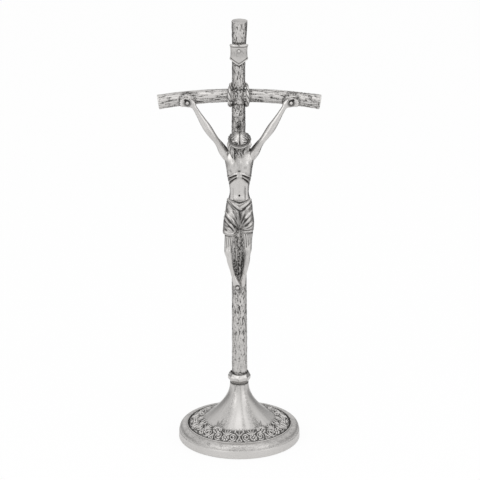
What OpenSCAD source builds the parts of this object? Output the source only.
// A standing crucifix: a bowed log cross on a turned foot, with a cast figure nailed to it.
// Millimetres. +Z is up, the front faces -Y, and the origin is the centre of the felt's underside.

/* [Overall] */
// Height from the table to the top of the post
total_h = 220; // [205:1:245]

/* [Foot] */
// Diameter of the foot
foot_d = 61; // [56:0.5:70]
// Height of the foot up to the collar
foot_h = 29.9; // [28:0.1:36]
// Height of the foot's upright edge
foot_edge_h = 4.4; // [3.6:0.1:5.2]
// Height of the rim's crest
rim_h = 7.6; // [7:0.1:8.6]
// Width of the rim, from the edge to the floral band
rim_w = 4.7; // [4.2:0.1:6]
// Diameter of the neck under the collar
neck_d = 9.3; // [8.6:0.1:11]
// Wall of the cast foot
foot_wall = 1.6; // [1.3:0.1:1.9]
// Thickness of the web that the screw pulls against
web_t = 2; // [1.4:0.1:3]

/* [Floral band] */
// Width of the floral band, seen from above
band_w = 7.9; // [7:0.1:9]
// Depth of the channel that the band lies in
band_channel = 0.9; // [0.7:0.05:1]
// Thickness of the band's own ring
band_t = 0.5; // [0.35:0.05:0.65]
// Height of the relief on the ring
relief_h = 0.6; // [0.4:0.05:0.9]

/* [Felt] */
// Thickness of the felt pad
felt_t = 1.5; // [1:0.1:2.5]
// How far the felt stands below the metal
felt_stand = 0.3; // [0.1:0.05:0.6]

/* [Collar] */
// Diameter of the collar at its middle
collar_d = 11.4; // [10.6:0.1:13]
// Diameter of the collar's two ends
collar_end_d = 9.1; // [8.8:0.1:10]
// Height of the collar
collar_h = 5.6; // [4.6:0.1:7]
// Depth of the seat in the collar for the post
collar_seat = 1.7; // [1:0.1:2.4]

/* [Post] */
// Diameter of the log post at its middle
post_d = 7.4; // [6.8:0.1:7.6]
// Diameter of the post's turned tenon
tenon_d = 4.8; // [4.2:0.1:5.4]
// Depth of the socket in the foot's neck
socket_h = 8.4; // [6:0.1:9.5]

/* [Crossbeam] */
// Width of the cross, from one beam end to the other
beam_span = 79.5; // [74:0.2:92]
// Diameter of the beam at the crossing
beam_d = 6.7; // [6.2:0.1:7.2]
// Height of the beam's centre line at the crossing
beam_z = 181.8; // [176:0.2:188]
// How far the beam's ends droop
bow_drop = 3.5; // [2:0.1:5]
// Depth of the bark's ridges
bark = 0.2; // [0.05:0.01:0.3]

/* [Lashing] */
// Diameter of the cord that binds the crossing
cord_d = 1.8; // [1.4:0.1:2.2]

/* [Title scroll] */
// Width of the scroll over the figure
title_w = 9.7; // [8.6:0.1:11]
// Height of the scroll from its rolled top to its point
title_h = 11; // [10:0.1:13]
// Thickness of the scroll
title_t = 0.85; // [0.6:0.05:1.1]
// Distance of the scroll's top from the top of the post
title_drop = 10.6; // [8:0.1:13]

/* [Figure] */
// Height of the figure, from the beam's centre line to the toes
figure_h = 100; // [94:0.5:106]

/* [Nails] */
// Diameter of a nail's domed head
nail_head_d = 1.8; // [1.5:0.1:2.1]
// Diameter of a nail's shank
nail_d = 0.9; // [0.7:0.05:1.1]
// How deep a nail is driven into the wood
nail_bite = 2.2; // [1.6:0.1:2.6]

/* [Screw] */
// Nominal diameter of the screw under the foot
screw_d = 3; // [2.5:0.1:3.2]
// Length of the screw under its head
screw_len = 9; // [7:0.1:10]

/* [Hidden] */

pewter = [0.72, 0.71, 0.68];
dark_pewter = [0.5, 0.49, 0.46];
bright_pewter = [0.82, 0.81, 0.78];
steel = [0.6, 0.62, 0.64];
felt_green = [0.1, 0.22, 0.14];

fit_gap = 0.05;       // between turned pieces that fit in each other
seat_gap = 0.06;      // between the cast pieces and the logs that they lie on
overrun = 1;          // how far a cut runs past the face that it opens
fine = 72;
foot_r = foot_d / 2;
neck_r = neck_d / 2;
tenon_r = tenon_d / 2;
post_r = post_d / 2;
beam_r = beam_d / 2;
cord_r = cord_d / 2;

// Shared forms

function unit(v) = v / norm(v);
function centroid(ring) = [for (k = [0:2]) [for (p = ring) p[k]] * [for (p = ring) 1] / len(ring)];
function clamp(x) = min(1, max(0, x));

// Rows of stations made smooth, with steps points in each span.
function smooth(rows, steps) = [
    for (i = [0:len(rows) - 2], k = [0:steps - 1])
        let (t = k / steps, b = rows[i], c = rows[i + 1],
             a = i > 0 ? rows[i - 1] : b, d = i < len(rows) - 2 ? rows[i + 2] : c)
        ((2 * b) + (c - a) * t + (2 * a - 5 * b + 4 * c - d) * t * t + (3 * b - a - 3 * c + d) * t * t * t) / 2,
    rows[len(rows) - 1]
];

// A ring square to the way t at the point p. hint points roughly across the ring's depth.
function ring(p, t, hint, r_side, r_depth, n) =
    let (depth = unit(hint - (hint * t) * t), side = cross(depth, t))
    [for (j = [0:n - 1]) let (a = 360 * j / n) p + r_side * cos(a) * side + r_depth * sin(a) * depth];

function point(row) = [row[0], row[1], row[2]];
function way(rows, i) = unit(point(rows[min(i + 1, len(rows) - 1)]) - point(rows[max(i - 1, 0)]));

// The closed skin over a row of rings.
module skin(rings) {
    n = len(rings[0]);
    m = len(rings);
    points = concat([for (r = rings) each r], [centroid(rings[0]), centroid(rings[m - 1])]);
    sides = [for (i = [0:m - 2], j = [0:n - 1])
        let (a = i * n + j, b = i * n + (j + 1) % n, c = b + n, d = a + n) each [[a, d, c], [a, c, b]]];
    ends = [for (j = [0:n - 1]) each [[m * n, j, (j + 1) % n],
                                      [m * n + 1, (m - 1) * n + (j + 1) % n, (m - 1) * n + j]]];
    polyhedron(points, concat(sides, ends), convexity = 8);
}

// The closed skin over rings that come round to the first one.
module skin_loop(rings) {
    n = len(rings[0]);
    m = len(rings);
    points = [for (r = rings) each r];
    faces = [for (i = [0:m - 1], j = [0:n - 1])
        let (i2 = (i + 1) % m, a = i * n + j, b = i * n + (j + 1) % n, c = i2 * n + (j + 1) % n, d = i2 * n + j)
        each [[a, d, c], [a, c, b]]];
    polyhedron(points, faces, convexity = 8);
}

// A limb through stations of [x, y, z, half width, half depth].
module limb(rows, steps = 1, n = 8) {
    s = smooth(rows, steps);
    skin([for (i = [0:len(s) - 1]) ring(point(s[i]), way(s, i), [0, 1, 0], s[i][3], s[i][4], n)]);
}

module ball(p, r, n = 10) translate(p) sphere(r, $fn = n);
module egg(p, size, n = 12) translate(p) scale(size) sphere(1, $fn = n);

// The foot

rim_r = foot_r - rim_w;                       // inner edge of the rim, where the band starts
band_r = rim_r - band_w;                      // inner edge of the band
flare_power = 2.05;                            // how fast the flare spreads
band_rise_share = 0.4;                       // slope of the band's cone
band_sink_share = 0.1;                        // the band's edge under the crest, of the channel's depth
band_top = rim_h - band_sink_share * band_channel;
flare_z = band_top + band_w * band_rise_share;
socket_z = foot_h - socket_h;
web_z = socket_z - web_t;
felt_r = foot_r - foot_wall;
ledge_share = 1.5;                            // ledge that the felt is glued to, in walls
ledge_w = ledge_share * foot_wall;
bore_r = tenon_r + fit_gap;
screw_r = screw_d / 2;
screw_hole_r = screw_r + 2 * fit_gap;
flare_steps = 12;
edge_r = foot_wall / 2;                        // rounding of the foot's lower edge
rim_round_share = 0.55;                       // how much of the rim's width is rounded off

function flare_r(t) = neck_r + (band_r - neck_r) * pow(1 - t, flare_power);
function flare(t) = [flare_r(t), flare_z + (foot_h - flare_z) * t];
// Share of the flare's height at which its inside reaches the web.
web_share = (web_z + foot_wall - flare_z) / (foot_h - flare_z);

edge_profile = [
    for (a = [-90:30:0]) [foot_r - edge_r + edge_r * cos(a), felt_stand + edge_r + edge_r * sin(a)],
    for (a = [0:15:90]) [rim_r + rim_w * (1 - rim_round_share + rim_round_share * cos(a)),
                         foot_edge_h + (rim_h - foot_edge_h) * sin(a)],
    [rim_r, rim_h - fit_gap]
];

module base_foot() {
    color(pewter)
    rotate_extrude($fn = fine)
    polygon(concat(
        edge_profile,
        [[rim_r, band_top - band_channel], [band_r, flare_z - band_channel]],
        [for (i = [0:flare_steps]) flare(i / flare_steps)],
        [[bore_r, foot_h], [bore_r, socket_z], [screw_hole_r, socket_z], [screw_hole_r, web_z]],
        [for (i = [flare_steps:-1:0]) flare(web_share * i / flare_steps) - [foot_wall, foot_wall]],
        [[felt_r - ledge_w, felt_t + foot_wall], [felt_r - ledge_w, felt_t], [felt_r, felt_t],
         [felt_r, felt_stand]]
    ));
}

// The floral band

band_slope = atan(band_rise_share);
band_sides = 56;
rosette_count = 8;
petals = 5;
sink = band_t / 2;                            // how far a motif goes into the ring
leaf_shares = [0.9, 0.15];                    // a leaf's height, and what its section shrinks to
// A petal's distance from the rosette's middle, half width and half length as shares of the rosette,
// its height as a share of the relief, and what its section shrinks to.
petal_shares = [0.32, 0.15, 0.18, 0.85, 0.5];
eye_shares = [0.16, 0.08];                    // radius of a rosette's eye at its foot and at its top
curl_from = -70;
curl_to = 210;
curl_steps = 5;
curl_shares = [0.55, 0.4, 0.8];               // how much a scroll winds in, thins out, and how high it is
fan = 50;                                     // the outer leaves of a bouquet lean by this many degrees
fan_shares = [0.22, 0.15];                    // how much shorter they are, and a leaf's width
// Shares of the band's width: a rosette's distance from the rim and its diameter, the same for the
// scrolls beside it with their thickness.
rosette_shares = [0.42, 0.44];
scroll_shares = [0.36, 0.27, 0.11];
scroll_off = 10.5;                            // degrees from a rosette to its scrolls
// The short spray and the tall one: [bud's distance from the rim, its radius at the foot and at the top,
// the leaves' distance from the rim, their length].
spray_shares = [[0.3, 0.1, 0.05, 0.42, 0.46], [0.5, 0.13, 0.05, 0.62, 0.62]];

// Places a flat motif on the band's cone, r from the axis, turned so that its own +Y points uphill.
module on_band(r, angle) {
    rotate([0, 0, angle]) translate([0, -r, band_top - band_channel + band_t + (rim_r - r) * band_rise_share])
        rotate([band_slope, 0, 0]) children();
}

// A ridged leaf from its foot at the origin, pointing along its own +Y.
module leaf(length, width, height) {
    hull() translate([0, length / 2, -sink]) scale([width / 2, length / 2, 1])
        cylinder(h = height * leaf_shares[0] + sink, r1 = 1, r2 = leaf_shares[1], $fn = 4);
}

module rosette(d, height) {
    for (i = [0:petals - 1]) rotate([0, 0, 360 * i / petals]) hull()
        translate([0, d * petal_shares[0], -sink]) scale([d * petal_shares[1], d * petal_shares[2], 1])
            cylinder(h = petal_shares[3] * height + sink, r1 = 1, r2 = petal_shares[4], $fn = 4);
    translate([0, 0, -sink])
        cylinder(h = height + sink, r1 = d * eye_shares[0], r2 = d * eye_shares[1], $fn = 6);
}

// A C-shaped scroll with a curled end.
module scroll(r, width, height) {
    turns = [for (i = [0:curl_steps]) let (k = i / curl_steps, a = curl_from + (curl_to - curl_from) * k)
        r * (1 - curl_shares[0] * k) * [cos(a), sin(a), 0]];
    skin([for (i = [0:len(turns) - 1])
        ring(turns[i], way(turns, i), [0, 0, 1], width / 2 * (1 - curl_shares[1] * i / len(turns)),
             height * curl_shares[2], 4)]);
}

module bouquet(long) {
    for (a = [-fan:fan / 2:fan]) rotate([0, 0, a])
        leaf(long * (1 - fan_shares[0] * abs(a) / fan), fan_shares[1] * band_w, relief_h);
}

module floral_band() {
    color(dark_pewter) {
        rotate_extrude($fn = band_sides) polygon([
            [rim_r - fit_gap, band_top - band_channel], [rim_r - fit_gap, band_top - band_channel + band_t],
            [band_r + fit_gap, flare_z - band_channel + band_t],
            [band_r + fit_gap, flare_z - band_channel]]);
        for (i = [0:rosette_count - 1]) {
            a = 360 * (i + 0.5) / rosette_count;
            on_band(rim_r - rosette_shares[0] * band_w, a) rosette(rosette_shares[1] * band_w, relief_h);
            for (side = [-1, 1]) on_band(rim_r - scroll_shares[0] * band_w, a + side * scroll_off)
                mirror([side > 0 ? 0 : 1, 0, 0])
                scroll(scroll_shares[1] * band_w, scroll_shares[2] * band_w, relief_h);
        }
        for (i = [0:rosette_count - 1]) {
            a = 360 * i / rosette_count;
            spray = spray_shares[i % 2] * band_w;
            on_band(rim_r - spray[0], a) translate([0, 0, -sink])
                cylinder(h = relief_h + sink, r1 = spray[1], r2 = spray[2], $fn = 8);
            on_band(rim_r - spray[3], a) bouquet(spray[4]);
        }
    }
}

// Under the foot

module felt_pad() {
    color(felt_green) cylinder(h = felt_t, r = felt_r - fit_gap, $fn = fine);
}

// In screw diameters: the washer's radius and thickness, the head's radius and height, the slot's width.
hardware_shares = [1.15, 0.2, 0.92, 0.6, 0.25];
washer_r = hardware_shares[0] * screw_d;
washer_t = hardware_shares[1] * screw_d;
screw_head_r = hardware_shares[2] * screw_d;
screw_head_h = hardware_shares[3] * screw_d;
slot_w = hardware_shares[4] * screw_d;
head_taper_share = 0.8;                       // radius of the head's outer face, of its full radius
slot_depth_share = 0.5;

module screw_washer() {
    color(steel) translate([0, 0, web_z - washer_t]) difference() {
        cylinder(h = washer_t, r = washer_r, $fn = fine);
        translate([0, 0, -overrun]) cylinder(h = washer_t + 2 * overrun, r = screw_hole_r, $fn = fine);
    }
}

module clamp_screw() {
    color(steel) translate([0, 0, web_z - washer_t]) {
        cylinder(h = screw_len, r = screw_r, $fn = fine);
        difference() {
            translate([0, 0, -screw_head_h])
                cylinder(h = screw_head_h, r1 = head_taper_share * screw_head_r, r2 = screw_head_r, $fn = fine);
            translate([-screw_head_r, -slot_w / 2, -screw_head_h - overrun])
                cube([2 * screw_head_r, slot_w, slot_depth_share * screw_head_h + overrun]);
        }
    }
}

// The collar

collar_top = foot_h + collar_h;
post_z = collar_top - collar_seat;            // where the log's lower end sits in the collar
collar_steps = 12;
collar_bulge = 2.6;                           // over 2 makes the knop's middle straighter

function collar_r(t) =
    (collar_end_d + (collar_d - collar_end_d) * sqrt(1 - pow(abs(2 * t - 1), collar_bulge))) / 2;

module base_collar() {
    seat_r = log_r(0) + bark + fit_gap;
    color(bright_pewter) rotate_extrude($fn = fine) polygon(concat(
        [for (i = [0:collar_steps]) [collar_r(i / collar_steps), foot_h + collar_h * i / collar_steps]],
        [[seat_r, collar_top], [seat_r, post_z], [bore_r, post_z], [bore_r, foot_h]]
    ));
}

// The logs

post_h = total_h - post_z;
// Along the post: [share of its height, radius as a share of the middle's, sideways lean as a share
// of the diameter].
post_shares = [
    [0, 1.05, 0.02], [0.1, 1.04, 0.02], [0.22, 1.01, 0], [0.36, 1, -0.02], [0.5, 0.98, -0.03],
    [0.62, 0.95, -0.04],
    [0.72, 0.93, -0.05], [0.8, 0.9, -0.05], [0.87, 0.88, -0.05], [0.93, 0.92, -0.02], [0.97, 1.01, 0],
    [1, 1.08, 0.02]
];
log_sides = 18;
post_rings = 28;
beam_rings = 18;

// Straight-line lookup of column k of a table at the share s.
function from_table(table, s, k) = lookup(s, [for (row = table) [row[0], row[k]]]);
function log_r(s) = post_r * from_table(post_shares, s, 1);
function log_x(s) = post_d * from_table(post_shares, s, 2);
// Share of the post's height at the height z.
function post_share(z) = clamp((z - post_z) / post_h);
function post_r_at(z) = log_r(post_share(z));
function post_x_at(z) = log_x(post_share(z));

// Ridges and furrows of bark, from -1 to 1, at the angle a and the share s of a log's length.
ridge_shares = [1, 0.6, 0.5];                 // how much each of the three waves adds
function ridges(a, s) =
    [sin(5 * a + 900 * s), sin(8 * a - 1400 * s), sin(3 * a + 2200 * s)] * ridge_shares
    / (ridge_shares * [1, 1, 1]);

function log_ring(p, t, hint, r, s) =
    let (depth = unit(hint - (hint * t) * t), side = cross(depth, t))
    [for (j = [0:log_sides - 1]) let (a = 360 * j / log_sides, q = r + bark * ridges(a, s))
        p + q * cos(a) * side + q * sin(a) * depth];

module post_log(grow = 0) {
    skin([for (i = [0:post_rings]) let (s = i / post_rings)
        log_ring([log_x(s), 0, post_z + s * post_h], [0, 0, 1], [0, 1, 0], log_r(s) + grow, s)]);
}

function bow(x) = bow_drop * pow(2 * x / beam_span, 2);
function beam_point(x) = [x, 0, beam_z - bow(x)];
function beam_way(x) = unit([1, 0, -8 * bow_drop * x / pow(beam_span, 2)]);
beam_swell_share = 0.1;                       // how much thicker the beam's ends are
function beam_r_at(x) = beam_r * (1 + beam_swell_share * pow(2 * x / beam_span, 2));

module beam_log(grow = 0) {
    skin([for (i = [0:beam_rings]) let (s = i / beam_rings, x = (s - 0.5) * beam_span)
        log_ring(beam_point(x), beam_way(x), [0, 1, 0], beam_r_at(x) + grow, s)]);
}

// Smooth logs, a little larger, that cut the beds of the cast pieces.
bed_sides = 16;
bed_rings = 7;
bed_grow_share = 1 + tan(180 / bed_sides) * tan(180 / bed_sides) / 2;
bed_from_share = 0.3;                         // no cast piece lies lower on the post than this

module post_bed() {
    skin([for (i = [0:bed_rings]) let (s = bed_from_share + (1 - bed_from_share) * i / bed_rings,
                                    r = bed_grow_share * (log_r(s) + bark + seat_gap))
        ring([log_x(s), 0, post_z + s * post_h], [0, 0, 1], [0, 1, 0], r, r, bed_sides)]);
}

module beam_bed() {
    skin([for (i = [-bed_rings:bed_rings]) let (x = i / bed_rings * beam_span / 2,
                                             r = bed_grow_share * (beam_r_at(x) + bark + seat_gap))
        ring(beam_point(x), beam_way(x), [0, 1, 0], r, r, bed_sides)]);
}

lap_r = beam_r + bark + fit_gap;
post_lap_r = post_r_at(beam_z) + bark + fit_gap;
lap_x = post_x_at(beam_z);

module post() {
    color(pewter) difference() {
        union() {
            post_log();
            translate([0, 0, socket_z + fit_gap])
                cylinder(h = post_z - socket_z + overrun, r = tenon_r, $fn = fine);
        }
        // half-lap: the beam's back half passes here
        translate([-post_d, 0, beam_z - lap_r]) cube([2 * post_d, post_d, 2 * lap_r]);
        // tapped hole for the screw
        translate([0, 0, socket_z - overrun])
            cylinder(h = screw_len - web_t - washer_t + 2 * overrun, r = screw_r + fit_gap, $fn = fine);
        nail_hole(title_nail_at, nail_bite);
        nail_hole(foot_nail_at, foot_nail_len);
    }
}

module crossbeam() {
    color(pewter) difference() {
        beam_log();
        // half-lap: the post's front half passes here
        translate([lap_x - post_lap_r, -beam_d, beam_z - beam_d])
            cube([2 * post_lap_r, beam_d, 2 * beam_d]);
        for (side = [-1, 1]) nail_hole(hand_nail_at(side), hand_nail_len);
    }
}

// The lashing at the crossing

cord_x = post_lap_r + cord_r;                 // the cord runs beside the post
cord_y = beam_r_at(cord_x) + bark + cord_r + seat_gap;  // and over the front of the beam
cord_back = post_lap_r + cord_r;              // and behind the post
cord_up = beam_r + bark + cord_d;             // height at which it passes behind the post
// One quarter of the loop, from the front of the beam to the back of the post:
// [x, y, z] as shares of cord_x, cord_y and cord_up.
cord_shares = [[1, -1, 0], [1.02, -0.93, 0.36], [1.02, -0.66, 0.74], [1, -0.2, 0.98], [0.93, 0.3, 1.02],
               [0.68, 0.72, 1], [0.36, 0.94, 0.98]];
cord_back_share = 0.97;                       // height of the cord right behind the post, of cord_up
cord_sides = 8;

function cord_quarter(sx, sz) = [for (c = cord_shares)
    [lap_x + sx * c[0] * cord_x, c[1] * (c[1] < 0 ? cord_y : cord_back), beam_z + sz * c[2] * cord_up]];
function reversed(list) = [for (i = [len(list) - 1:-1:0]) list[i]];
function back_point(sz) = [[lap_x, cord_back, beam_z + sz * cord_back_share * cord_up]];
function without_first(list) = [for (i = [1:len(list) - 1]) list[i]];

cord_loop = concat(
    cord_quarter(-1, 1), back_point(1), reversed(cord_quarter(1, 1)),
    without_first(cord_quarter(1, -1)), back_point(-1), reversed(without_first(cord_quarter(-1, -1))));

function loop_way(path, i) = unit(path[(i + 1) % len(path)] - path[(i + len(path) - 1) % len(path)]);

module crossing_lashing() {
    middle = [lap_x, 0, beam_z];
    color(bright_pewter) skin_loop([for (i = [0:len(cord_loop) - 1])
        ring(cord_loop[i], loop_way(cord_loop, i), cord_loop[i] - middle, cord_r, cord_r, cord_sides)]);
}

// Nails

// A nail is driven along +Y. at is the place of the underside of its head.
module nail(at, length) {
    color(bright_pewter) translate(at) rotate([-90, 0, 0]) {
        cylinder(h = length, r = nail_d / 2, $fn = 24);
        difference() {
            sphere(nail_head_d / 2, $fn = 32);
            cylinder(h = nail_head_d, r = nail_head_d, $fn = 24);
        }
    }
}

module nail_hole(at, length, n = 24) {
    translate(at) rotate([-90, 0, 0]) cylinder(h = length + fit_gap, r = nail_d / 2 + fit_gap, $fn = n);
}

// The title scroll

title_top = total_h - title_drop;
title_bend_share = 0.72;                      // radius that the sheet is bent to, of its width
title_mid_share = 0.4;                        // where it lies closest to the post, down from its top
title_nail_share = 0.31;                      // where it is nailed, down from its top
title_roll_share = 0.85;                      // mean radius of its rolled top, of its thickness
title_curve_r = title_bend_share * title_w;
title_mid = title_top - title_mid_share * title_h;
title_back_y = -post_r_at(title_mid) - bark - seat_gap;
title_x = post_x_at(title_mid);
title_roll_r = title_roll_share * title_t;
title_shoulder_share = 0.27;                  // height of the pointed foot
title_nail_at = [title_x, title_back_y - title_t, title_top - title_nail_share * title_h];
roll_shares = [0.62, 0.5];                    // a roll's radius at its ends, and what is added in its middle
roll_from = 3;                                // degrees off the middle at which a roll starts and ends
roll_to = 42;
roll_steps = 6;

module title_scroll() {
    roll_z = title_top - title_roll_r;
    foot_z = title_top - title_h;
    shoulder_z = foot_z + title_shoulder_share * title_h;
    half = title_w / 2;
    inset = title_roll_r / 2;
    color(bright_pewter) difference() {
        union() {
            // the sheet, bent round the post
            intersection() {
                translate([title_x, title_back_y + title_curve_r, foot_z]) difference() {
                    cylinder(h = title_h - title_roll_r, r = title_curve_r + title_t, $fn = fine);
                    translate([0, 0, -overrun])
                        cylinder(h = title_h + 2 * overrun, r = title_curve_r, $fn = fine);
                }
                translate([title_x, title_back_y + title_curve_r / 2, 0]) rotate([90, 0, 0])
                    linear_extrude(height = title_curve_r) polygon([
                        [-half + inset, roll_z], [-half, roll_z - inset], [-half, shoulder_z + inset],
                        [-half + inset, shoulder_z], [-half / 2, shoulder_z - inset], [0, foot_z],
                        [half / 2, shoulder_z - inset], [half - inset, shoulder_z],
                        [half, shoulder_z + inset],
                        [half, roll_z - inset], [half - inset, roll_z]]);
            }
            // the curled top edge, in two swelling rolls
            for (side = [-1, 1]) skin([for (k = [0:roll_steps])
                let (a = side * (roll_from + (roll_to - roll_from) * k / roll_steps),
                     r = title_curve_r + title_t / 2,
                     swell = title_roll_r * (roll_shares[0] + roll_shares[1] * sin(180 * k / roll_steps)))
                ring([title_x + r * sin(a), title_back_y + title_curve_r - r * cos(a), roll_z],
                     [side * cos(a), side * sin(a), 0], [0, 0, 1], swell, swell, 10)]);
        }
        nail_hole(title_nail_at - [0, fit_gap, 0], title_t + overrun);
        post_bed();
    }
}

module title_nail() nail(title_nail_at, title_t + nail_bite);

// The figure.
// Its tables are shares of figure_h: x from the post's axis, y from the front of the wood
// (minus is towards the viewer), the drop below the beam's centre line, half width, half depth.

shoulder_share = 0.07;
hand_share = 0.22;
// How far a station has left the post for the beam.
function reach(x_share) = clamp((abs(x_share) - shoulder_share) / (hand_share - shoulder_share));

function place(row) =
    let (w = reach(row[0]), x = row[0] * figure_h)
    [x, -(1 - w) * post_r - w * beam_r + row[1] * figure_h, beam_z - w * bow(x) - row[2] * figure_h,
     row[3] * figure_h, row[4] * figure_h];
function placed(rows) = [for (row = rows) place(row)];
function mirrored(rows) = [for (row = rows) [-row[0], row[1], row[2], row[3], row[4]]];
function spot(x, y, drop) = point(place([x, y, drop, 0, 0]));

torso_shares = [
    [0, -0.034, 0.665, 0.03, 0.018], [0, -0.04, 0.63, 0.06, 0.034], [0, -0.04, 0.57, 0.061, 0.036],
    [0, -0.038, 0.52, 0.056, 0.033], [0, -0.037, 0.477, 0.047, 0.029], [0, -0.039, 0.436, 0.051, 0.035],
    [0, -0.042, 0.395, 0.059, 0.042], [0, -0.043, 0.355, 0.064, 0.045], [0, -0.041, 0.314, 0.071, 0.043],
    [0, -0.038, 0.283, 0.075, 0.036], [0, -0.036, 0.256, 0.06, 0.027], [0, -0.034, 0.24, 0.03, 0.018]
];
arm_shares = [
    [-0.05, -0.036, 0.3, 0.025, 0.026], [-0.075, -0.037, 0.267, 0.025, 0.025],
    [-0.096, -0.035, 0.232, 0.019, 0.019],
    [-0.113, -0.033, 0.209, 0.016, 0.016], [-0.13, -0.031, 0.186, 0.018, 0.017],
    [-0.155, -0.028, 0.148, 0.021, 0.018],
    [-0.178, -0.025, 0.11, 0.018, 0.015], [-0.198, -0.022, 0.074, 0.014, 0.012],
    [-0.215, -0.019, 0.043, 0.012, 0.01],
    [-0.228, -0.017, 0.022, 0.013, 0.009]
];
palm_shares = [
    [-0.219, -0.017, 0.034, 0.012, 0.009], [-0.232, -0.016, 0.018, 0.02, 0.011],
    [-0.25, -0.015, 0.009, 0.024, 0.011],
    [-0.267, -0.014, 0.006, 0.022, 0.01], [-0.277, -0.013, 0.005, 0.018, 0.008]
];
left_leg_shares = [
    [-0.028, -0.038, 0.6, 0.03, 0.03], [-0.043, -0.043, 0.672, 0.028, 0.027],
    [-0.053, -0.05, 0.722, 0.02, 0.022],
    [-0.057, -0.055, 0.76, 0.017, 0.019], [-0.056, -0.056, 0.788, 0.018, 0.018],
    [-0.051, -0.052, 0.815, 0.014, 0.016],
    [-0.046, -0.046, 0.845, 0.014, 0.017], [-0.039, -0.038, 0.88, 0.011, 0.013],
    [-0.031, -0.033, 0.915, 0.01, 0.011],
    [-0.024, -0.034, 0.937, 0.012, 0.012]
];
right_leg_shares = [
    [0.028, -0.038, 0.6, 0.03, 0.03], [0.04, -0.044, 0.672, 0.028, 0.027],
    [0.042, -0.05, 0.72, 0.022, 0.023],
    [0.042, -0.055, 0.752, 0.02, 0.02], [0.041, -0.056, 0.776, 0.02, 0.018],
    [0.04, -0.052, 0.805, 0.015, 0.016],
    [0.039, -0.046, 0.835, 0.014, 0.017], [0.034, -0.037, 0.872, 0.012, 0.013],
    [0.026, -0.024, 0.912, 0.011, 0.011],
    [0.02, -0.019, 0.937, 0.012, 0.011]
];
front_foot_shares = [
    [-0.027, -0.034, 0.927, 0.011, 0.011], [-0.019, -0.038, 0.953, 0.015, 0.012],
    [-0.009, -0.037, 0.978, 0.018, 0.011],
    [0, -0.034, 1, 0.017, 0.009], [0.006, -0.032, 1.012, 0.013, 0.006]
];
back_foot_shares = [
    [0.023, -0.02, 0.927, 0.011, 0.01], [0.018, -0.016, 0.952, 0.014, 0.011],
    [0.012, -0.014, 0.978, 0.016, 0.011],
    [0.007, -0.013, 1, 0.015, 0.008], [0.004, -0.012, 1.012, 0.012, 0.005]
];
neck_shares = [[0, -0.036, 0.3, 0.024, 0.024], [0, -0.044, 0.262, 0.024, 0.024],
               [0, -0.065, 0.222, 0.026, 0.026]];

nail_x_share = 0.254;
hand_nail_share = 0.006;
hand_front_share = 0.026;
foot_front_share = 0.047;

function hand_nail_at(side) = spot(side * nail_x_share, -hand_front_share, hand_nail_share);
hand_nail_len = hand_front_share * figure_h + nail_bite;
foot_nail_x_share = -0.009;
foot_nail_share = 0.981;
foot_nail_at = spot(foot_nail_x_share, -foot_front_share, foot_nail_share);
foot_nail_len = foot_front_share * figure_h + nail_bite;
recess_share = 1.7;                           // the shallow ring round each nail's head, of the head
recess_r = recess_share * nail_head_d / 2;

finger_shares = [-0.015, -0.005, 0.005, 0.015];
// Along a finger: [x, how much shorter the outer fingers are, y, drop, spread, radius].
bone_shares = [[0.268, 0, -0.014, 0.006, 1, 0.0045], [0.284, 0, -0.018, 0.006, 0.95, 0.005],
               [0.299, 0.6, -0.013, 0.007, 0.85, 0.0035]];
thumb_shares = [[0.238, -0.024, 0.006, 0.006, 0.006], [0.25, -0.024, -0.01, 0.005, 0.005],
                [0.258, -0.021, -0.02, 0.004, 0.004]];
toe_shares = [-0.012, -0.006, 0, 0.006, 0.012];
toe_r_share = 0.0042;
toe_out_share = 0.002;                        // how far the middle toe stands out
toe_back_share = 0.4;                         // how far the others fall back, of their own place

module fingers(side) {
    for (f = finger_shares) limb(placed([for (b = bone_shares)
        [side * (b[0] - b[1] * abs(f)), b[2], b[3] + b[4] * f, b[5], b[5]]]), 1, 6);
    limb(placed(side > 0 ? thumb_shares : mirrored(thumb_shares)), 1, 6);
}

module toes(rows, n) {
    end = place(rows[len(rows) - 1]);
    before = place(rows[len(rows) - 2]);
    t = unit(point(end) - point(before));
    side = cross([0, 1, 0], t);
    for (k = toe_shares)
        translate(point(end) + side * k * figure_h + t * (toe_out_share - abs(k) * toe_back_share) * figure_h)
            sphere(toe_r_share * figure_h, $fn = n);
}

// The head, in its own frame: shares of head_h, the face looking along -Y

head_share = 0.12;
head_h = head_share * figure_h;
head_tilt = 30;
head_at_shares = [0.001, -0.078, 0.205, 0, 0];
head_at = point(place(head_at_shares));

module in_head_frame() translate(head_at) rotate([head_tilt, 0, 0]) children();

// Sections of the head: [height, middle's y, half width, half depth].
head_shares = [
    [-0.48, -0.17, 0.1, 0.11], [-0.42, -0.155, 0.155, 0.17], [-0.35, -0.125, 0.19, 0.22],
    [-0.3, -0.105, 0.205, 0.245], [-0.265, -0.09, 0.215, 0.26], [-0.24, -0.08, 0.222, 0.27],
    [-0.21, -0.07, 0.23, 0.28], [-0.17, -0.055, 0.245, 0.295], [-0.13, -0.04, 0.258, 0.31],
    [-0.08, -0.02, 0.273, 0.335], [-0.03, -0.005, 0.285, 0.35], [0.01, 0, 0.292, 0.36],
    [0.06, 0.005, 0.3, 0.37], [0.13, 0.01, 0.29, 0.365], [0.2, 0.02, 0.24, 0.3]
];
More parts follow.
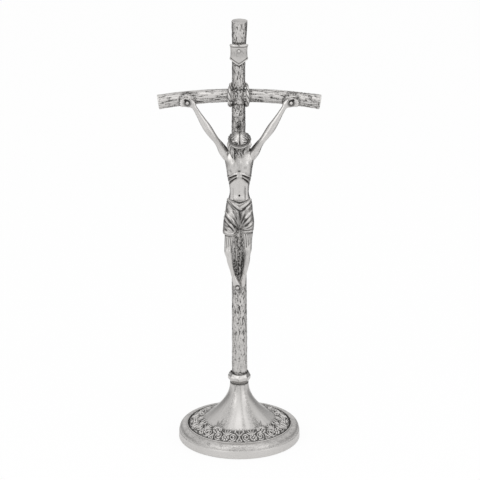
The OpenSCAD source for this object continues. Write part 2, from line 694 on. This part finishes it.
// Swellings of the face: [x, height, width, tallness, how far it stands out].
face_shares = [
    [0.12, 0.06, 0.09, 0.035, 0.022], [0.12, 0, 0.075, 0.045, -0.04], [0.12, -0.01, 0.05, 0.028, 0.03],
    [0.18, -0.09, 0.07, 0.05, 0.03], [0.045, -0.135, 0.022, 0.025, 0.05], [0.1, -0.205, 0.05, 0.022, 0.02],
    [0.13, -0.36, 0.09, 0.1, 0.035]
];
face_middle_shares = [
    [0, 0.02, 0.032, 0.05, 0.04], [0, -0.05, 0.034, 0.05, 0.07], [0, -0.115, 0.04, 0.035, 0.11],
    [0, -0.225, 0.06, 0.014, 0.03], [0, -0.265, 0.055, 0.018, 0.03], [0, -0.4, 0.14, 0.09, 0.06]
];
beard_at_shares = [-0.15:0.06:0.15];          // where the beard's locks start, across the chin
// Along a lock that starts at x: [share of x, place aside, y, bend of y, height, bend of height, radius].
beard_shares = [[1, 0, -0.31, 1.4, -0.37, 0, 0.045], [0.9, 0, -0.29, 1.2, -0.47, 0, 0.045],
                [0.55, 0.03, -0.24, 0, -0.58, 1.5, 0.02]];
beard_sides = [5, 5, 4];
face_sides = 20;
face_focus = 27;                              // crowds the points of each section towards the face

function swelling(b, x, z) = b[4] * exp(-pow((x - b[0]) / b[2], 2) - pow((z - b[1]) / b[3], 2));
function face_relief(x, z) =
    [for (b = concat(face_shares, face_middle_shares)) swelling(b, abs(x), z)]
    * [for (b = concat(face_shares, face_middle_shares)) 1];

module head() {
    skin([for (row = head_shares) [for (j = [0:face_sides - 1])
        let (a0 = 360 * j / face_sides, a = a0 - face_focus * sin(a0), x = row[2] * sin(a))
        head_h * [x, row[1] - row[3] * cos(a) - (cos(a) > 0 ? face_relief(x, row[0]) : 0), row[0]]]]);
    // beard, in hanging locks
    for (x = beard_at_shares) hull() for (k = [0:2]) let (b = beard_shares[k])
        ball([b[0] * x + b[1] * sign(x), b[2] + b[3] * x * x, b[4] + b[5] * x * x] * head_h,
             b[6] * head_h, beard_sides[k]);
}

hair_r_shares = [0.355, 0.41, 0.4];           // half width, half depth and half height of the hair
hair_at_shares = [0, 0.035, 0.085];           // its middle
hair_waves = 6;                               // strands over the top of the head
hair_wave_share = 0.045;
// Along the hair's width: [share of the half width, share of the full section]; 0 is the parting.
hair_shares = [[0, 0.91], [0.1, 0.985], [0.34, 0.95], [0.62, 0.8], [0.84, 0.55], [0.97, 0.22]];
hair_sides = 24;
face_cut_shares = [[-0.24, -0.6, -0.6], [0.48, 0.36, 0.74]];   // corner and size of the face's opening
nape_shares = [[0, 0.16, -0.12], [0.32, 0.28, 0.36]];          // place and half sizes of the hair behind

module hair() {
    widths = concat(reversed([for (h = hair_shares) [-h[0], h[1]]]), without_first(hair_shares));
    difference() {
        translate(hair_at_shares * head_h) skin([for (w = widths) [for (j = [0:hair_sides - 1])
            let (a = 360 * j / hair_sides,
                 swell = w[1] * (1 + hair_wave_share * abs(w[0]) * cos(2 * hair_waves * (a + 20 * abs(w[0])))))
            head_h * [w[0] * hair_r_shares[0], -hair_r_shares[1] * swell * cos(a),
                      -hair_r_shares[2] * swell * sin(a)]]]);
        // the face looks out here
        translate(face_cut_shares[0] * head_h) cube(face_cut_shares[1] * head_h);
    }
    egg(nape_shares[0] * head_h, nape_shares[1] * head_h, 10);
}

// Locks that hang from the temples onto the chest, in the figure's shares.
lock_shares = [
    [[-0.042, -0.075, 0.21, 0.011, 0.014], [-0.048, -0.083, 0.245, 0.013, 0.014],
     [-0.044, -0.083, 0.28, 0.01, 0.01], [-0.036, -0.078, 0.305, 0.004, 0.004]],
    [[-0.035, -0.095, 0.215, 0.008, 0.009], [-0.038, -0.098, 0.25, 0.009, 0.008],
     [-0.03, -0.088, 0.285, 0.007, 0.007], [-0.02, -0.082, 0.31, 0.003, 0.003]],
    [[-0.046, -0.05, 0.22, 0.011, 0.014], [-0.052, -0.055, 0.25, 0.012, 0.014],
     [-0.053, -0.06, 0.275, 0.005, 0.006]],
    [[0.042, -0.075, 0.21, 0.011, 0.014], [0.049, -0.083, 0.24, 0.013, 0.014],
     [0.05, -0.082, 0.268, 0.01, 0.01], [0.046, -0.078, 0.285, 0.004, 0.004]],
    [[0.035, -0.095, 0.215, 0.008, 0.009], [0.039, -0.098, 0.245, 0.009, 0.008],
     [0.036, -0.09, 0.275, 0.005, 0.005]],
    [[0.046, -0.05, 0.22, 0.011, 0.014], [0.052, -0.055, 0.248, 0.011, 0.013],
     [0.054, -0.058, 0.27, 0.004, 0.005]]
];

// The loincloth

cloth_shares = [
    [[0, -0.039, 0.512, 0.057, 0.036], [0, -0.041, 0.535, 0.064, 0.042],
     [-0.001, -0.043, 0.58, 0.068, 0.045], [-0.002, -0.044, 0.62, 0.068, 0.044]],
    [[-0.03, -0.044, 0.56, 0.034, 0.038], [-0.04, -0.047, 0.62, 0.038, 0.042],
     [-0.044, -0.049, 0.662, 0.038, 0.042], [-0.048, -0.05, 0.692, 0.034, 0.037],
     [-0.049, -0.05, 0.7, 0.03, 0.033]],
    [[0.03, -0.044, 0.56, 0.034, 0.038], [0.037, -0.047, 0.62, 0.036, 0.042],
     [0.038, -0.049, 0.66, 0.036, 0.042], [0.04, -0.05, 0.685, 0.031, 0.036],
     [0.041, -0.05, 0.693, 0.028, 0.032]]
];
skin_edge_share = 0.97;                       // a skin has no front nearer to its edge than this
// How far forward the skin through these rows is at x and drop.
function front_at(rows, x, drop) =
    let (col = function(k) lookup(drop, [for (r = rows) [r[2], r[k]]]), across = (x - col(0)) / col(3),
         drops = [for (r = rows) r[2]])
    drop < min(drops) || drop > max(drops) || abs(across) > skin_edge_share ? 0
        : col(1) - col(4) * sqrt(1 - across * across);
function cloth_front(x, drop) = min([for (rows = cloth_shares) front_at(rows, x, drop)]);

// Folds that lie on the cloth: [x, drop, half width]. The first two on each side are the waist's roll.
fold_shares = [
    [[-0.057, 0.522, 0.008], [-0.036, 0.538, 0.01], [-0.012, 0.562, 0.01], [0.008, 0.58, 0.006]],
    [[-0.061, 0.54, 0.007], [-0.04, 0.56, 0.008], [-0.016, 0.588, 0.008], [-0.002, 0.606, 0.005]],
    [[-0.064, 0.568, 0.006], [-0.046, 0.592, 0.008], [-0.024, 0.624, 0.008], [-0.01, 0.65, 0.005]],
    [[-0.068, 0.6, 0.007], [-0.054, 0.622, 0.008], [-0.032, 0.65, 0.008], [-0.014, 0.672, 0.006]],
    [[-0.074, 0.634, 0.007], [-0.06, 0.652, 0.009], [-0.04, 0.674, 0.008], [-0.024, 0.688, 0.005]],
    [[0.057, 0.522, 0.008], [0.036, 0.537, 0.01], [0.012, 0.558, 0.01], [-0.004, 0.568, 0.006]],
    [[0.062, 0.548, 0.007], [0.044, 0.566, 0.008], [0.02, 0.596, 0.008], [0.006, 0.618, 0.005]],
    [[0.065, 0.58, 0.006], [0.05, 0.603, 0.008], [0.028, 0.632, 0.008], [0.012, 0.652, 0.005]],
    [[0.07, 0.616, 0.007], [0.054, 0.634, 0.008], [0.034, 0.652, 0.008], [0.018, 0.662, 0.006]],
    [[0.072, 0.65, 0.007], [0.056, 0.665, 0.009], [0.036, 0.674, 0.008], [0.02, 0.674, 0.005]]
];
fold_sink_share = 0.2;                        // how deep a fold lies in the cloth, of its half width
module fold(rows)
    limb(placed([for (r = rows)
        [r[0], cloth_front(r[0], r[1]) + fold_sink_share * r[2], r[1], r[2], r[2]]]), 1, 5);

// Grooves of the ribs, and the navel

rib_shares = [
    [[0.051, 0.406, 0.003], [0.036, 0.391, 0.005], [0.022, 0.381, 0.005], [0.014, 0.376, 0.002]],
    [[0.047, 0.43, 0.003], [0.036, 0.413, 0.005], [0.024, 0.4, 0.004], [0.016, 0.394, 0.002]]
];
rib_out_share = 0.1;                          // how far a groove's middle stands out, of its half width
module rib_groove(rows, side)
    limb(placed([for (r = rows)
        [side * r[0], front_at(torso_shares, side * r[0], r[1]) - rib_out_share * r[2],
         r[1], r[2], r[2]]]), 1, 5);
navel_share = 0.487;
navel_out_share = 0.001;
navel_r_share = 0.007;
navel_at = spot(0, front_at(torso_shares, 0, navel_share) - navel_out_share, navel_share);

module corpus() {
    color(bright_pewter) difference() {
        union() {
            limb(placed(torso_shares), 1, 12);
            limb(placed(neck_shares), 1, 10);
            for (arm = [arm_shares, mirrored(arm_shares)]) limb(placed(arm), 1, 9);
            for (palm = [palm_shares, mirrored(palm_shares)]) limb(placed(palm), 1, 8);
            for (side = [-1, 1]) fingers(side);
            for (leg = [left_leg_shares, right_leg_shares]) limb(placed(leg), 1, 9);
            for (foot = [front_foot_shares, back_foot_shares]) {
                limb(placed(foot), 1, 8);
                toes(foot, 4);
            }
            for (cloth = cloth_shares) limb(placed(cloth), 1, 12);
            for (rows = fold_shares) fold(rows);
            for (lock = lock_shares) limb(placed(lock), 1, 5);
            in_head_frame() {
                head();
                hair();
            }
        }
        post_bed();
        beam_bed();
        for (side = [-1, 1], rib = rib_shares) rib_groove(rib, side);
        translate(navel_at) sphere(navel_r_share * figure_h, $fn = 8);
        for (side = [-1, 1]) {
            nail_hole(hand_nail_at(side) - [0, overrun, 0], hand_nail_len + overrun, 12);
            translate(hand_nail_at(side)) rotate([90, 0, 0])
                cylinder(h = 2 * nail_head_d, r = recess_r, $fn = 12);
        }
        nail_hole(foot_nail_at - [0, overrun, 0], foot_nail_len + overrun, 12);
        translate(foot_nail_at) rotate([90, 0, 0]) cylinder(h = 2 * nail_head_d, r = recess_r, $fn = 12);
    }
}

// The crown of thorns

strand_share = 0.04;
strand_r = strand_share * head_h;
cane_share = 0.8;                             // a cane's radius, of the radius that it winds on
crown_turns = 7;
crown_z_share = 0.14;
crown_steps = 24;
thorns = 10;
thorn_r_shares = [0.7, 0.2];                  // radius of a thorn at its foot and tip, in strand_r
thorn_out_share = 2;                          // how far its tip stands out, up and down, in strand_r
thorn_up_share = 2.2;
thorn_lean = 6;                               // degrees that a tip runs on round the crown
thorn_down_share = 1.32;
// How much of the hair's width is left at the crown's height, and the crown's half width and half depth.
hair_cut_share = sqrt(1 - pow((crown_z_share - hair_at_shares[2]) / hair_r_shares[2], 2));
crown_rx = hair_r_shares[0] * hair_cut_share * head_h + 2 * strand_r + seat_gap;
crown_ry = hair_r_shares[1] * hair_cut_share * head_h + 2 * strand_r + seat_gap;
crown_tilt = -5;

function crown_point(a, k) =
    let (turn = crown_turns * a + 180 * k)
    [(crown_rx + strand_r * cos(turn)) * cos(a), (crown_ry + strand_r * cos(turn)) * sin(a),
     strand_r * sin(turn)];

module crown_of_thorns() {
    color(dark_pewter) in_head_frame()
        translate([0, hair_at_shares[1], crown_z_share] * head_h) rotate([crown_tilt, 0, 0]) {
            for (k = [0, 1]) {
                path = [for (i = [0:crown_steps - 1]) crown_point(360 * i / crown_steps, k)];
                skin_loop([for (i = [0:crown_steps - 1])
                    ring(path[i], loop_way(path, i), path[i],
                         cane_share * strand_r, cane_share * strand_r, 4)]);
            }
            for (i = [0:thorns - 1]) {
                a = 360 * (i + 0.3) / thorns;
                rise = i % 2 == 0 ? thorn_up_share : -thorn_down_share;
                tip_x = crown_rx + thorn_out_share * strand_r;
                tip_y = crown_ry + thorn_out_share * strand_r;
                hull() {
                    ball([crown_rx * cos(a), crown_ry * sin(a), 0], thorn_r_shares[0] * strand_r, 4);
                    ball([tip_x * cos(a + thorn_lean), tip_y * sin(a + thorn_lean), rise * strand_r],
                         thorn_r_shares[1] * strand_r, 4);
                }
            }
        }
}

module hand_nail(side) nail(hand_nail_at(side), hand_nail_len);
module foot_nail() nail(foot_nail_at, foot_nail_len);

base_foot();
floral_band();
felt_pad();
clamp_screw();
screw_washer();
base_collar();
post();
crossbeam();
crossing_lashing();
title_scroll();
title_nail();
corpus();
crown_of_thorns();
hand_nail(-1);  // hand_nail_left
hand_nail(1);  // hand_nail_right
foot_nail();
